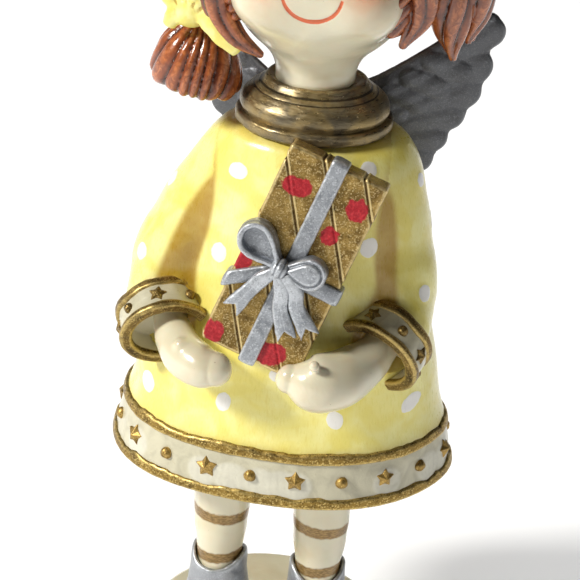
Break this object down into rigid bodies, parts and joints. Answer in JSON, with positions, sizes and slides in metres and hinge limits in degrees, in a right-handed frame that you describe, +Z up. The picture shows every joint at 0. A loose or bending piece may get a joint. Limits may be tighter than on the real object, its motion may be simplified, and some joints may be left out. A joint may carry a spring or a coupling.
{
  "type": "resin angel figurine",
  "caption": "Hand-painted resin angel doll in a bell dress, standing on a round base and holding a tilted gift box tied with a ribbon bow.",
  "frame": {"origin": "centre of the round base's underside", "axes": "+Z up, the figure faces -Y, +X is to the right of someone looking at its face"},
  "size_m": [0.0816, 0.0659, 0.2051],
  "materials": {
    "base_cream": "cream enamel over cast resin, glossy",
    "shoe_silver": "silver metallic paint over cast resin, satin",
    "stocking_cream": "cream enamel with brushed gold stripes, glossy",
    "dress_yellow": "lemon yellow enamel with white dots and ochre shading, glossy",
    "band_white": "off-white enamel with raised gold studs, glossy",
    "trim_gold": "antique gold glitter paint over cast resin",
    "skin_cream": "cream enamel over cast resin, glossy",
    "gift_gold": "rough antique gold glitter paint with incised lines and red dabs",
    "ribbon_silver": "silver metallic paint over cast resin, satin",
    "collar_pewter": "brushed pewter and gold metallic paint, glossy",
    "hair_auburn": "auburn enamel with dark wash in the grooves, glossy",
    "hair_bow_yellow": "pale yellow enamel, glossy",
    "wing_silver": "silver metallic paint over carved feather grooves, satin"
  },
  "bodies": {
    "root": {"base_plinth": "base_cream", "left_shoe": "shoe_silver", "right_shoe": "shoe_silver", "left_leg": "stocking_cream", "right_leg": "stocking_cream", "dress": "dress_yellow", "hem_band": "band_white", "hem_trim_lower": "trim_gold", "hem_trim_upper": "trim_gold", "left_sleeve": "dress_yellow", "right_sleeve": "dress_yellow", "left_cuff": "band_white", "right_cuff": "band_white", "left_cuff_trim_lower": "trim_gold", "left_cuff_trim_upper": "trim_gold", "right_cuff_trim_lower": "trim_gold", "right_cuff_trim_upper": "trim_gold", "left_hand": "skin_cream", "right_hand": "skin_cream", "gift_box": "gift_gold", "ribbon_lengthwise": "ribbon_silver", "ribbon_crosswise_left": "ribbon_silver", "ribbon_crosswise_right": "ribbon_silver", "bow_knot": "ribbon_silver", "bow_loop_left": "ribbon_silver", "bow_loop_right": "ribbon_silver", "bow_tail_left": "ribbon_silver", "bow_tail_middle": "ribbon_silver", "bow_tail_right": "ribbon_silver", "collar_flange": "collar_pewter", "collar_roll": "collar_pewter", "head": "skin_cream", "hair_cap": "hair_auburn", "left_front_lock": "hair_auburn", "right_front_lock": "hair_auburn", "left_pigtail": "hair_auburn", "right_pigtail": "hair_auburn", "left_hair_bow": "hair_bow_yellow", "right_hair_bow": "hair_bow_yellow", "left_wing": "wing_silver", "right_wing": "wing_silver"}
  },
  "joints": []
}
